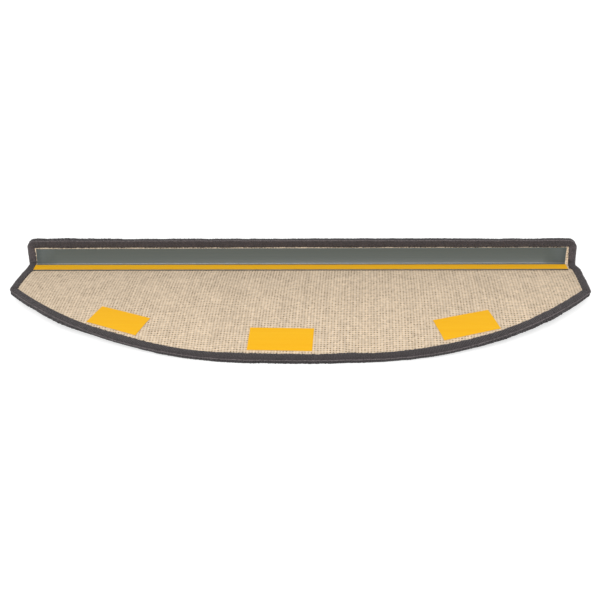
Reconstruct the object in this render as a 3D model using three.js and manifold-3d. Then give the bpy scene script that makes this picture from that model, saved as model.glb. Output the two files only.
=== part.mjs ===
// Half-round carpet mat for one stair tread, with a plastic nosing angle glued into its fold.
// Millimetres, +Z up. It lies pile down, with its glued underside and its folded-up flap in view.
//
// The mat is laid out flat first: x runs along the fold, v is the distance from the fold towards
// the front edge (negative on the flap), and w is the height over the backing cloth.
// bend() turns that flat layout into the folded and arched mat.
import * as THREE from "three";
import { mergeVertices } from "three/addons/utils/BufferGeometryUtils.js";
import Module from "manifold-3d";

const solids = await Module();
solids.setup();

// Outline over the edge binding, measured flat
const treadWidth = 650;
const treadDepth = 204;
const leftSideDepth = 81.9;
const rightSideDepth = 86.1;
const flapHeight = 29.5;

// Front edge, cut by hand: a flat crown that peaks right of the middle, and a tighter arc each side
const crownOffset = 3.8;
const crownRadius = 1533;
const leftCrownReach = 53;
const rightCrownReach = 93.4;

// Carpet: tufted face and woven backing cloth, which keep a curl from the roll
const backingThickness = 1;
const ribDepth = 0.4;
const ribPitch = 6.4;
const layerGap = 0.15;
const carpetThickness = 4.85;
const pressedThickness = 3.6;
const curlRadius = 410;

// Binding yarn over the cut edge
const bindingWidth = 8.2;
const bindingYarn = 1;
const bindingGap = 0.25;
const beadDepth = 2.2;
const beadRounding = 3;
const lipRounding = 0.5;
const insideCorner = 0.8;
const foldInside = 0.35;

// Plastic angle that hooks over the stair's nosing, and its adhesive strip
const flangeDepth = 25;
const angleThickness = 1.1;
const angleFillet = 1.5;
const angleTopGap = 1.6;
const angleLeftGap = 1.6;
const angleRightGap = 5.1;
const bareStrip = 9.1;
const tapeSetback = 0.2;
const tapeThickness = 0.3;
const linerThickness = 0.15;
const glueGap = 0.05;

// Adhesive pads near the front edge: place along the fold, distance in from the binding, size, turn
const padTapeThickness = 0.6;
const padGap = 0.1;
const leftPad = { x: -184, inset: 21.7, length: 61.2, width: 30.5, turn: 21 };
const centrePad = { x: -7, inset: 21.5, length: 67.5, width: 33.9, turn: 1 };
const rightPad = { x: 186, inset: 24, length: 62, width: 33.5, turn: -17.6 };

// Facet sizes
const foldSteps = 4;
const curlSteps = 6;
const cornerSteps = 4;
const arcStep = 20;
const columnPitch = 26;
const beadSteps = 6;
const padColumns = 6;
const padRows = 3;

// Values that follow from the sizes above
const halfWidth = treadWidth / 2;
const cornerRadius = bindingWidth + insideCorner;
const foldRadius = foldInside + bindingYarn + bindingGap;
const carpetTop = -backingThickness - layerGap;
const carpetLow = carpetTop - carpetThickness;
const pressedLow = carpetTop - pressedThickness;
const bindingTop = bindingGap + bindingYarn;
const bindingLow = pressedLow - bindingGap - bindingYarn;
const cutInset = beadDepth + bindingGap;
const pileInset = bindingWidth + bindingGap;
const flangeTop = layerGap + angleThickness;
const angleStart = -halfWidth + bindingWidth + angleLeftGap;
const angleEnd = halfWidth - bindingWidth - angleRightGap;

// Flat layout to the folded mat, with the strip beside the fold level and the flap upright
function bend(x, v, w) {
  if (v <= -foldRadius) return new THREE.Vector3(x, -w, -v);
  if (v < foldRadius) {
    const turn = (Math.PI / 4) * (1 + v / foldRadius);
    const reach = foldRadius - w;
    return new THREE.Vector3(x, reach * Math.cos(turn) - foldRadius, foldRadius - reach * Math.sin(turn));
  }
  if (v <= flangeDepth) return new THREE.Vector3(x, -v, w);
  const turn = (v - flangeDepth) / curlRadius;
  const reach = curlRadius + w;
  return new THREE.Vector3(x, -flangeDepth - reach * Math.sin(turn), reach * Math.cos(turn) - curlRadius);
}

// One half of the front edge: an arc that leaves the crown without a kink, and a rounded corner
function shoulder(side, crownReach, sideDepth) {
  const slope = Math.asin(crownReach / crownRadius);
  const crownDrop = crownRadius * (1 - Math.cos(slope));
  const start = new THREE.Vector2(crownOffset + side * crownReach, treadDepth - crownDrop);
  const inward = new THREE.Vector2(-side * Math.sin(slope), -Math.cos(slope));
  const span = new THREE.Vector2(side * halfWidth, sideDepth).sub(start);
  const radius = span.lengthSq() / (2 * span.dot(inward));
  const centre = start.clone().addScaledVector(inward, radius);
  const cornerX = side * (halfWidth - cornerRadius);
  const rise = arcHeight(radius - cornerRadius, cornerX - centre.x);
  const corner = new THREE.Vector2(cornerX, centre.y + rise);
  const toCorner = corner.clone().sub(centre).normalize();
  return { side, slope, radius, centre, corner, toCorner };
}

function arcHeight(radius, offset) {
  return Math.sqrt(Math.max(radius * radius - offset * offset, 0));
}

const left = shoulder(-1, leftCrownReach, leftSideDepth);
const right = shoulder(1, rightCrownReach, rightSideDepth);
const crownCentre = new THREE.Vector2(crownOffset, treadDepth - crownRadius);

// Distance of the front edge from the fold at x, for the outline moved in by inset
function frontEdge(x, inset) {
  const half = x < crownOffset ? left : right;
  const crownEnd = (crownRadius - inset) * Math.sin(half.slope);
  if (Math.abs(x - crownOffset) <= crownEnd) {
    return crownCentre.y + arcHeight(crownRadius - inset, x - crownOffset);
  }
  const cornerStart = half.corner.x + (cornerRadius - inset) * half.toCorner.x;
  if (half.side * (x - cornerStart) <= 0) {
    return half.centre.y + arcHeight(half.radius - inset, x - half.centre.x);
  }
  return half.corner.y + arcHeight(cornerRadius - inset, x - half.corner.x);
}

// Place of the flap's top edge at x, for the outline moved in by inset
function flapEdge(x, inset) {
  const past = Math.max(Math.abs(x) - (halfWidth - cornerRadius), 0);
  return cornerRadius - flapHeight - arcHeight(cornerRadius - inset, past);
}

// Numbers from low to high in equal steps, both ends included
function spread(low, high, steps) {
  return Array.from({ length: steps + 1 }, (_, i) => low + ((high - low) * i) / steps);
}

// Places along x, close together at the rounded corners; the middle has an even number of steps
function columns(inset, pitch) {
  const straight = halfWidth - cornerRadius;
  const radius = cornerRadius - inset;
  const steps = radius > 1 ? cornerSteps : 1;
  const corner = spread(0, Math.PI / 2, steps).slice(1);
  const outer = corner.map((angle) => straight + radius * Math.sin(angle));
  const middle = spread(-straight, straight, 2 * Math.round(straight / pitch));
  return [...outer.map((x) => -x).reverse(), ...middle, ...outer];
}

// Places along v, from the flap's edge over the fold and the level strip to the front edge
function stations(x, inset) {
  const fold = spread(-foldRadius, foldRadius, foldSteps);
  const curl = spread(flangeDepth, frontEdge(x, inset), curlSteps);
  return [flapEdge(x, inset), ...fold, ...curl];
}

// Triangles between two rows of points that run the same way
function band(a, b) {
  const corners = [];
  let i = 0;
  let j = 0;
  while (i < a.length - 1 || j < b.length - 1) {
    const across = i < a.length - 1 ? a[i + 1].distanceToSquared(b[j]) : Infinity;
    const back = j < b.length - 1 ? a[i].distanceToSquared(b[j + 1]) : Infinity;
    if (across <= back) {
      corners.push(a[i], b[j], a[i + 1]);
      i += 1;
    } else {
      corners.push(a[i], b[j], b[j + 1]);
      j += 1;
    }
  }
  return corners;
}

function geometryOf(corners) {
  const geometry = new THREE.BufferGeometry().setFromPoints(corners);
  geometry.computeVertexNormals();
  return geometry;
}

// Closed solid between a top and a bottom, each given as rows of points from back to front
function slab(top, bottom) {
  const around = [...top, ...[...bottom].reverse()];
  const corners = around.flatMap((row, i) => band(row, around[(i + 1) % around.length]));
  const start = [top, bottom].map((rows) => rows.map((row) => row[0]));
  const end = [top, bottom].map((rows) => rows.map((row) => row[row.length - 1]));
  return geometryOf([...corners, ...band(start[0], start[1]), ...band(end[1], end[0])]);
}

// Rows of points over the whole mat at one height, from the flap's edge to the front edge
function rowsAt(inset, height) {
  const grid = columns(inset, columnPitch).map((x) => stations(x, inset).map((v) => bend(x, v, height)));
  return grid[0].map((_, j) => grid.map((column) => column[j]));
}

function sheet(inset, low, high) {
  return slab(rowsAt(inset, high), rowsAt(inset, low));
}

function manifoldOf(geometry) {
  const plain = new THREE.BufferGeometry().setAttribute("position", geometry.getAttribute("position"));
  const merged = mergeVertices(plain, 1e-4);
  return new solids.Manifold(
    new solids.Mesh({
      numProp: 3,
      vertProperties: merged.attributes.position.array,
      triVerts: new Uint32Array(merged.index.array),
    }),
  );
}

function joined(first, second) {
  const mesh = manifoldOf(first).add(manifoldOf(second)).getMesh();
  const geometry = new THREE.BufferGeometry();
  geometry.setAttribute("position", new THREE.BufferAttribute(mesh.vertProperties, 3));
  geometry.setIndex(new THREE.BufferAttribute(mesh.triVerts, 1));
  const flat = geometry.toNonIndexed();
  flat.computeVertexNormals();
  return flat;
}

// Tufted face: full height inside the binding, pressed to a thinner rim under it
function carpetFace() {
  const rim = sheet(cutInset, pressedLow, carpetTop);
  const pile = sheet(pileInset, carpetLow, (pressedLow + carpetTop) / 2);
  return joined(rim, pile);
}

// Backing cloth: flat on the flap and at the fold, with ribs along v from the angle to the front.
// One rib stands for two warp yarns that lie side by side.
function wovenBacking() {
  const lower = rowsAt(cutInset, -backingThickness);
  const upper = rowsAt(cutInset, 0).slice(0, foldSteps + 2);
  const xs = columns(cutInset, ribPitch / 2);
  const ribbed = xs.map((x, i) => {
    const valley = (i - cornerSteps) % 2 === 1 && i < xs.length - cornerSteps;
    const height = valley ? -ribDepth : 0;
    return spread(flangeDepth, frontEdge(x, cutInset), curlSteps).map((v) => bend(x, v, height));
  });
  const rows = ribbed[0].map((_, j) => ribbed.map((column) => column[j]));
  return slab([...upper, ...rows], lower);
}

// Section of the binding: distance in from the edge, and height over the backing
function bindingSection() {
  const middle = (bindingTop + bindingLow) / 2;
  const reach = (bindingTop - bindingLow) / 2;
  const bead = spread(-Math.PI / 2, Math.PI / 2, beadSteps).map((angle) => ({
    inset: beadRounding * (1 - Math.cos(angle)),
    height: middle + reach * Math.sin(angle),
  }));
  return [
    { inset: bindingWidth, height: pressedLow - bindingGap },
    { inset: bindingWidth, height: bindingLow + lipRounding },
    { inset: bindingWidth - lipRounding, height: bindingLow },
    ...bead,
    { inset: bindingWidth - lipRounding, height: bindingTop },
    { inset: bindingWidth, height: bindingTop - lipRounding },
    { inset: bindingWidth, height: bindingGap },
    { inset: beadDepth, height: bindingGap },
    { inset: beadDepth, height: pressedLow - bindingGap },
  ];
}

// Points with outward directions along an arc of the outline, from one angle to another
function arcStops(centre, radius, from, to, steps) {
  return spread(from, to, steps).map((angle) => ({
    x: centre.x + radius * Math.cos(angle),
    v: centre.y + radius * Math.sin(angle),
    outX: Math.cos(angle),
    outV: Math.sin(angle),
  }));
}

// Straight side edge between the front corner and the flap's corner
function sideStops(half) {
  const fold = spread(-foldRadius, foldRadius, foldSteps);
  const curl = spread(flangeDepth, half.corner.y, 2).slice(0, 2);
  return [...fold, ...curl].map((v) => ({ x: half.side * halfWidth, v, outX: half.side, outV: 0 }));
}

// Corner at the end of the flap's top edge, from the side edge to the top edge
function flapCorner(half) {
  const centre = new THREE.Vector2(half.corner.x, cornerRadius - flapHeight);
  const side = half.side > 0 ? 0 : -Math.PI;
  return arcStops(centre, cornerRadius, side, -Math.PI / 2, cornerSteps);
}

// Front corner and shoulder arc, from the side edge to the end of the crown
function frontStops(half) {
  const side = half.side > 0 ? 0 : Math.PI;
  const corner = Math.atan2(half.toCorner.y, half.toCorner.x);
  const crown = Math.PI / 2 - half.side * half.slope;
  const steps = Math.ceil((half.radius * Math.abs(crown - corner)) / arcStep);
  const rounded = arcStops(half.corner, cornerRadius, side, corner, cornerSteps);
  return [...rounded, ...arcStops(half.centre, half.radius, corner, crown, steps).slice(1)];
}

// The whole outline once round, from the flap's left end along the top edge
function outlineStops() {
  const crownSpan = crownRadius * (left.slope + right.slope);
  const crown = arcStops(
    crownCentre,
    crownRadius,
    Math.PI / 2 - right.slope,
    Math.PI / 2 + left.slope,
    Math.ceil(crownSpan / arcStep),
  );
  return [
    ...flapCorner(left),
    ...flapCorner(right).reverse(),
    ...sideStops(right),
    ...frontStops(right),
    ...crown.slice(1, -1),
    ...frontStops(left).reverse(),
    ...sideStops(left).reverse(),
  ];
}

// Binding yarn as one closed sweep round the outline
function edgeBinding() {
  const section = bindingSection();
  const rings = outlineStops().map((stop) => {
    const ring = section.map(({ inset, height }) =>
      bend(stop.x - inset * stop.outX, stop.v - inset * stop.outV, height),
    );
    return [...ring, ring[0]];
  });
  return geometryOf(rings.flatMap((ring, i) => band(rings[(i + 1) % rings.length], ring)));
}

// Extruded angle: a wall against the flap, a flange on the tread, and a fillet between them
function nosingAngle() {
  const top = flapHeight - bindingWidth - angleTopGap;
  const outer = foldRadius - layerGap;
  const inner = flangeTop + angleFillet;
  const shape = new THREE.Shape();
  shape.moveTo(layerGap, top);
  shape.lineTo(layerGap, foldRadius);
  shape.absarc(foldRadius, foldRadius, outer, Math.PI, Math.PI * 1.5, false);
  shape.lineTo(flangeDepth, layerGap);
  shape.lineTo(flangeDepth, flangeTop);
  shape.lineTo(inner, flangeTop);
  shape.absarc(inner, inner, angleFillet, Math.PI * 1.5, Math.PI, true);
  shape.lineTo(flangeTop, top);
  const geometry = new THREE.ExtrudeGeometry(shape, {
    depth: angleEnd - angleStart,
    bevelEnabled: false,
    curveSegments: foldSteps,
  });
  const forward = new THREE.Vector3(0, -1, 0);
  const up = new THREE.Vector3(0, 0, 1);
  const along = new THREE.Vector3(-1, 0, 0);
  return geometry.applyMatrix4(new THREE.Matrix4().makeBasis(forward, up, along));
}

function strip(thickness) {
  return new THREE.BoxGeometry(angleEnd - angleStart, flangeDepth - bareStrip - tapeSetback, thickness);
}

// Adhesive pad or its liner, laid on the curled backing
function padLayer(pad, low, high) {
  const turn = THREE.MathUtils.degToRad(pad.turn);
  const centreV = frontEdge(pad.x, bindingWidth) - pad.inset;
  const rowsOf = (height) =>
    spread(-pad.width / 2, pad.width / 2, padRows).map((across) =>
      spread(-pad.length / 2, pad.length / 2, padColumns).map((along) => {
        const x = pad.x + along * Math.cos(turn) - across * Math.sin(turn);
        const v = centreV + along * Math.sin(turn) + across * Math.cos(turn);
        return bend(x, v, height);
      }),
    );
  return slab(rowsOf(high), rowsOf(low));
}

function finish(color, roughness) {
  return new THREE.MeshStandardMaterial({ color, roughness, metalness: 0 });
}

const pileYarn = finish("#4a4543", 0.95);
const backingCloth = finish("#dcc7a8", 0.9);
const bindingFinish = finish("#4b4543", 0.85);
const plastic = finish("#525754", 0.35);
const adhesive = finish("#a8997d", 0.6);
const yellowLiner = finish("#febc12", 0.55);

const folded = new THREE.Group();

function add(name, geometry, material) {
  const mesh = new THREE.Mesh(geometry, material);
  mesh.name = name;
  folded.add(mesh);
  return mesh;
}

add("carpet_face", carpetFace(), pileYarn);
add("woven_backing", wovenBacking(), backingCloth);
add("edge_binding", edgeBinding(), bindingFinish);
add("nosing_angle", nosingAngle(), plastic).position.x = angleEnd;

const stripX = (angleStart + angleEnd) / 2;
const stripY = -(flangeDepth + bareStrip - tapeSetback) / 2;
const tapeLow = flangeTop + glueGap;
const linerLow = tapeLow + tapeThickness + glueGap;
const tape = add("nosing_tape", strip(tapeThickness), adhesive);
tape.position.set(stripX, stripY, tapeLow + tapeThickness / 2);
const liner = add("nosing_tape_liner", strip(linerThickness), yellowLiner);
liner.position.set(stripX, stripY, linerLow + linerThickness / 2);

const padTapeTop = padGap + padTapeThickness;
const padLinerLow = padTapeTop + glueGap;
const pads = { left: leftPad, centre: centrePad, right: rightPad };
for (const [side, pad] of Object.entries(pads)) {
  add(`${side}_pad_tape`, padLayer(pad, padGap, padTapeTop), adhesive);
  add(`${side}_pad_liner`, padLayer(pad, padLinerLow, padLinerLow + linerThickness), yellowLiner);
}

// Lean of the folded mat at which the fold and the front edge both touch the floor
function restLean() {
  let low = 0;
  let high = Math.PI / 4;
  const front = bindingSection().map(({ inset, height }) => bend(crownOffset, treadDepth - inset, height));
  for (let i = 0; i < 40; i += 1) {
    const lean = (low + high) / 2;
    const sin = Math.sin(lean);
    const cos = Math.cos(lean);
    const foldFoot = foldRadius * (sin + cos) - (foldRadius - carpetLow);
    const frontFoot = Math.min(...front.map((point) => point.z * cos - point.y * sin));
    if (frontFoot > foldFoot) high = lean;
    else low = lean;
  }
  return (low + high) / 2;
}

folded.rotation.x = -restLean();

// Origin at the middle of the footprint, on the floor
const mat = new THREE.Group();
mat.add(folded);
const bounds = new THREE.Box3().setFromObject(mat, true);
const middle = bounds.getCenter(new THREE.Vector3());
folded.position.set(-middle.x, -middle.y, -bounds.min.z);

export default mat;
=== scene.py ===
import math

import bpy
import numpy as np
from mathutils import Matrix


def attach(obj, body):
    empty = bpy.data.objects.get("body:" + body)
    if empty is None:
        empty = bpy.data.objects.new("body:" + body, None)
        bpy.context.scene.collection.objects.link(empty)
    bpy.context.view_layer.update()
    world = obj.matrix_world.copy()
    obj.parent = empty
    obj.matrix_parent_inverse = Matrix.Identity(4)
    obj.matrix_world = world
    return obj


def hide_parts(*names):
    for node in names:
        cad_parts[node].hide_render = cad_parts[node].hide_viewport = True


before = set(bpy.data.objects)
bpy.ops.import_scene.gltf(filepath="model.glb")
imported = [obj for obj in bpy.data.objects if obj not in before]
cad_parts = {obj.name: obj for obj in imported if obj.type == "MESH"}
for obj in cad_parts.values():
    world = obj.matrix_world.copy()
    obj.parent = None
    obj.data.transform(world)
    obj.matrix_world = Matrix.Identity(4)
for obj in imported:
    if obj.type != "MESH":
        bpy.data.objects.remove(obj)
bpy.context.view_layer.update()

# Camera
# It stands where the photograph was taken from, measured from the corner of the mat's fold. The
# fold is found from the adhesive strip, which lies level with it on the plastic angle.
MM = 0.001

# The strip's back edge is this far out from the fold's corner and its underside this far up, in mm.
# The camera's angles are in degrees.
STRIP_BACK = 9.1
STRIP_LOW = 1.3
CAMERA_FROM_FOLD = (83.7, -1034.9, 569.8)
CAMERA_HEADING = 4.58
CAMERA_TILT = 59.15
CAMERA_ROLL = -2.28
CAMERA_LENS = 59.7
CAMERA_FILM = 36.0
CAMERA_NEAR = 0.01

strip = np.array([corner.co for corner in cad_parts["nosing_tape"].data.vertices])
strip_back = strip[strip[:, 2].argmin()]
strip_front = strip[strip[:, 1].argmin()]
lean = math.atan2(strip_front[2] - strip_back[2], strip_back[1] - strip_front[1])
fold_y = strip_back[1] + MM * (STRIP_BACK * math.cos(lean) - STRIP_LOW * math.sin(lean))
fold_z = strip_back[2] - MM * (STRIP_BACK * math.sin(lean) + STRIP_LOW * math.cos(lean))

camera = bpy.data.objects.new("camera", bpy.data.cameras.new("camera"))
bpy.context.scene.collection.objects.link(camera)
bpy.context.scene.camera = camera
camera.data.lens = CAMERA_LENS
camera.data.sensor_width = CAMERA_FILM
camera.data.clip_start = CAMERA_NEAR
camera.location = (
    MM * CAMERA_FROM_FOLD[0],
    fold_y + MM * CAMERA_FROM_FOLD[1],
    fold_z + MM * CAMERA_FROM_FOLD[2],
)
camera.rotation_euler = (
    Matrix.Rotation(math.radians(CAMERA_HEADING), 3, "Z")
    @ Matrix.Rotation(math.radians(CAMERA_TILT), 3, "X")
    @ Matrix.Rotation(math.radians(CAMERA_ROLL), 3, "Z")
).to_euler()


# Backing cloth
# The mat's underside is a woven polypropylene cloth: twisted warp yarns run from the fold to the
# front edge, over fine cross yarns, and latex shows in the gaps. The carpet was cut flat, folded
# along one line and keeps the curl of its roll.

# The flat cut in mm, from the fold: a front edge of two shoulders with a crown between them, and a
# flap. The cloth is flat under the angle's level leg and curls beyond it.
HALF_WIDTH = 325.0
TREAD_DEPTH = 204.0
SIDE_DEPTHS = (81.9, 86.1)
FLAP_HEIGHT = 29.5
CORNER_RADIUS = 9.0
CROWN_OFFSET = 3.8
CROWN_RADIUS = 1533.0
CROWN_REACHES = (53.0, 93.4)
FOLD_RADIUS = 1.6
FLANGE_DEPTH = 25.0
CURL_RADIUS = 410.0
RIM_STEP = 0.5

# The yarns' pitches in mm, the rows before and beyond the fold, and how far the cloth stays inside
# the cut edge, under the binding.
WARP_PITCH = 3.21
ROW_PITCH = 3.07
CLOTH_ROWS = (-10, 68)
CLOTH_INSET = 4.0

# Where a warp yarn's flanks lie between two gaps, as parts of the pitch, and how far the yarn dips
# between the rows, the cross yarns lie below it and the gaps sink, in mm.
YARN_FLANKS = (0, 0.26, 0.74)
YARN_DIP = 0.16
CROSS_DROP = 0.12
GAP_DROP = 0.42
DROP_SPREAD = (0.6, 1.3)

# The yarns sway and stray by hair's breadths, and the rows bow by part of a row, over these
# lengths in mm. The cloth's tone changes in patches, and its fibres are this wide and long.
YARN_SWAY = 0.22
YARN_STRAY = 0.05
SWAY_LENGTH = 24.0
ROW_BOW = 0.6
BOW_LENGTH = 50.0
PATCH_LENGTH = 33.33
FIBRE_SIZE = (0.333, 1.111)

# The gaps' tan and the pinholes' brown are drawn darker, partly as painted shade.
YARN_TAN = "#ead6bd"
GAP_TAN_AND_SHADE = "#e2caab"
HOLE_SHADE_BROWN = "#866d50"


def on_mat(x, v, w):
    """Place in metres of x along the fold, v out from it on the flat, w over the backing, in mm."""
    x, v, w = np.broadcast_arrays(x, v, w)
    fold = np.pi / 4 * (1 + np.clip(v / FOLD_RADIUS, -1, 1))
    curl = np.maximum(v - FLANGE_DEPTH, 0) / CURL_RADIUS
    inside = FOLD_RADIUS - w
    outside = CURL_RADIUS + w
    stretch = [v <= -FOLD_RADIUS, v < FOLD_RADIUS, v <= FLANGE_DEPTH]
    y = np.select(
        stretch,
        [-w, inside * np.cos(fold) - FOLD_RADIUS, -v],
        -FLANGE_DEPTH - outside * np.sin(curl),
    )
    z = np.select(
        stretch,
        [-v, FOLD_RADIUS - inside * np.sin(fold), w],
        outside * np.cos(curl) - CURL_RADIUS,
    )
    along = y * math.cos(lean) + z * math.sin(lean)
    up = z * math.cos(lean) - y * math.sin(lean)
    return np.stack([MM * x, fold_y + MM * along, fold_z + MM * up], axis=-1)


def arc(centre, radius, start, stop):
    """Points of the outline along an arc, each with its outward direction: x, v, out x, out v."""
    steps = max(round(abs(stop - start) * radius / RIM_STEP), 4)
    angle = np.linspace(start, stop, steps + 1)
    out = np.stack([np.cos(angle), np.sin(angle)], axis=1)
    return np.hstack([np.asarray(centre) + radius * out, out])


def shoulder(side, reach, side_depth):
    """The half of the front edge on one side: its arc meets the crown without a kink."""
    slope = math.asin(reach / CROWN_RADIUS)
    drop = CROWN_RADIUS * (1 - math.cos(slope))
    start = np.array([CROWN_OFFSET + side * reach, TREAD_DEPTH - drop])
    inward = np.array([-side * math.sin(slope), -math.cos(slope)])
    span = np.array([side * HALF_WIDTH, side_depth]) - start
    radius = span @ span / (2 * span @ inward)
    centre = start + radius * inward
    corner_x = side * (HALF_WIDTH - CORNER_RADIUS)
    rise = math.sqrt((radius - CORNER_RADIUS) ** 2 - (corner_x - centre[0]) ** 2)
    corner = np.array([corner_x, centre[1] + rise])
    turn = math.atan2(*(corner - centre)[::-1])
    end = math.pi / 2 - side * slope
    corner_arc = arc(corner, CORNER_RADIUS, 0 if side > 0 else math.pi, turn)
    half = np.vstack([corner_arc, arc(centre, radius, turn, end)[1:]])
    return (half[::-1] if side > 0 else half), end


left_half, crown_start = shoulder(-1, CROWN_REACHES[0], SIDE_DEPTHS[0])
right_half, crown_end = shoulder(1, CROWN_REACHES[1], SIDE_DEPTHS[1])
crown = arc((CROWN_OFFSET, TREAD_DEPTH - CROWN_RADIUS), CROWN_RADIUS, crown_start, crown_end)
front_rim = np.vstack([left_half, crown[1:-1], right_half])
flap_corner = HALF_WIDTH - CORNER_RADIUS
corner_v = CORNER_RADIUS - FLAP_HEIGHT
flap_left = arc((-flap_corner, corner_v), CORNER_RADIUS, -math.pi, -math.pi / 2)
flap_right = arc((flap_corner, corner_v), CORNER_RADIUS, -math.pi / 2, 0)
flap_rim = np.vstack([flap_left, flap_right])


def edge_at(x, rim, inset):
    """Where the outline, moved in by inset, lies at x."""
    return np.interp(x, rim[:, 0] - inset * rim[:, 2], rim[:, 1] - inset * rim[:, 3])


def inside_cut(x, v, inset):
    """Whether places on the flat lie inside the outline, moved in by inset."""
    wide = np.abs(x) <= HALF_WIDTH - inset
    return wide & (v <= edge_at(x, front_rim, inset)) & (v >= edge_at(x, flap_rim, inset))


def wander(at, spacing, random):
    """Smooth random numbers along a line, about -1 to 1, that change over the spacing."""
    knots = random.uniform(-1, 1, int(np.ptp(at) / spacing) + 4)
    place = (at - at.min()) / spacing + 1
    low = np.floor(place).astype(int)
    part = place - low
    part = part * part * (3 - 2 * part)
    return knots[low] * (1 - part) + knots[low + 1] * part


def grid_quads(index):
    """Quads between the points of a grid, from the points' numbers."""
    return np.stack([index[:-1, :-1], index[:-1, 1:], index[1:, 1:], index[1:, :-1]], axis=-1)


def sheet_mesh(name, points, flat_x, flat_v):
    """Mesh of a sheet cut from a flat grid in mm, with the flat as its map, and its area in m2."""
    middle_x = (flat_x[1:, 1:] + flat_x[:-1, :-1]) / 2
    middle_v = (flat_v[1:, 1:] + flat_v[:-1, :-1]) / 2
    kept = inside_cut(middle_x, middle_v, CLOTH_INSET)
    area = (np.diff(flat_x, axis=1)[1:] * np.diff(flat_v, axis=0)[:, 1:])[kept].sum() * MM**2
    index = np.arange(flat_x.size).reshape(flat_x.shape)
    used, corners = np.unique(grid_quads(index)[kept], return_inverse=True)
    mesh = bpy.data.meshes.new(name)
    mesh.from_pydata(points.reshape(-1, 3)[used].tolist(), [], corners.reshape(-1, 4).tolist())
    flat = np.stack([flat_x, flat_v], axis=-1).reshape(-1, 2)[used][corners.ravel()]
    mesh.uv_layers.new(name="cut").uv.foreach_set("vector", flat.astype(np.float32).ravel())
    mesh.shade_smooth()
    return mesh, area


def add_piece(name, mesh, material, slot, *nodes):
    """Puts a piece on the mat in place of CAD nodes, with its material; the slot is not used."""
    mesh.materials.append(material)
    piece = bpy.data.objects.new(name, mesh)
    bpy.context.scene.collection.objects.link(piece)
    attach(piece, "root")
    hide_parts(*nodes)
    return piece


def linear(hex_colour):
    """Linear colour of an sRGB hex value."""
    parts = [int(hex_colour[i : i + 2], 16) / 255 for i in (1, 3, 5)]
    return [p / 12.92 if p <= 0.04045 else ((p + 0.055) / 1.055) ** 2.4 for p in parts] + [1]


def new_finish(name):
    """A material with no nodes yet."""
    finish = bpy.data.materials.new(name)
    finish.use_nodes = True
    finish.node_tree.nodes.clear()
    return finish


# Inputs are named or numbered as on the node. A MapRange goes from 1 and 2 to 3 and 4, and a Mix of
# colours goes from 6 to 7.
def add_node(finish, kind, inputs=None, **settings):
    """Adds a node with its settings; each input is a value or another node's output."""
    tree = finish.node_tree
    node = tree.nodes.new("ShaderNode" + kind)
    for setting, value in settings.items():
        setattr(node, setting, value)
    for socket, value in (inputs or {}).items():
        if isinstance(value, bpy.types.NodeSocket):
            tree.links.new(value, node.inputs[socket])
        else:
            node.inputs[socket].default_value = value
    return node


# Woven polypropylene: matt, pale yarns stand out over hairy gaps. The gaps' darker tone and their
# brown pinholes are partly painted shade, and the yarns carry a painted highlight on their crests
# and painted shade between them. Each yarn, crest and gap has a tone of its own. The real fibres
# are finer than the render can show and are drawn several times as coarse.
woven = new_finish("woven polypropylene")
cut_map = add_node(woven, "UVMap", uv_map="cut").outputs[0]
straight_weave = add_node(
    woven, "VectorMath", {0: cut_map, 1: (1 / WARP_PITCH, 1 / ROW_PITCH, 0)}, operation="MULTIPLY"
).outputs[0]
bowing = add_node(
    woven,
    "TexNoise",
    {"Vector": cut_map, "Scale": 1 / BOW_LENGTH, "Detail": 1.0},
    noise_dimensions="2D",
).outputs[0]
bow = add_node(
    woven, "MapRange", {0: bowing, 1: 0.3, 2: 0.7, 3: -ROW_BOW, 4: ROW_BOW}
).outputs[0]
row_shift = add_node(woven, "CombineXYZ", {1: bow}).outputs[0]
weave = add_node(
    woven, "VectorMath", {0: straight_weave, 1: row_shift}, operation="ADD"
).outputs[0]
warp_place, row_place, _ = add_node(woven, "SeparateXYZ", {0: weave}).outputs
yarn_cell = add_node(woven, "Math", {0: warp_place}, operation="FLOOR").outputs[0]
yarn_chance = add_node(
    woven, "TexWhiteNoise", {1: yarn_cell}, noise_dimensions="1D"
).outputs[0]
crest_cell = add_node(woven, "VectorMath", {0: weave}, operation="FLOOR").outputs[0]
crest_chance = add_node(
    woven, "TexWhiteNoise", {0: crest_cell}, noise_dimensions="2D"
).outputs[0]
around_hole = add_node(
    woven, "VectorMath", {0: weave, 1: (0.5, 0.5, 5.0)}, operation="ADD"
).outputs[0]
hole_cell = add_node(woven, "VectorMath", {0: around_hole}, operation="FLOOR").outputs[0]
hole_chance = add_node(woven, "TexWhiteNoise", {0: hole_cell}).outputs[0]
warp_turn = add_node(
    woven, "Math", {0: warp_place, 1: 2 * math.pi}, operation="MULTIPLY"
).outputs[0]
warp_wave = add_node(woven, "Math", {0: warp_turn}, operation="COSINE").outputs[0]
row_turn = add_node(
    woven, "Math", {0: row_place, 1: 2 * math.pi}, operation="MULTIPLY"
).outputs[0]
row_wave = add_node(woven, "Math", {0: row_turn}, operation="COSINE").outputs[0]
on_yarn = add_node(
    woven,
    "MapRange",
    {0: warp_wave, 1: 0.7, 2: -0.5, 3: 0.0, 4: 1.0},
    interpolation_type="SMOOTHSTEP",
).outputs[0]
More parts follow.
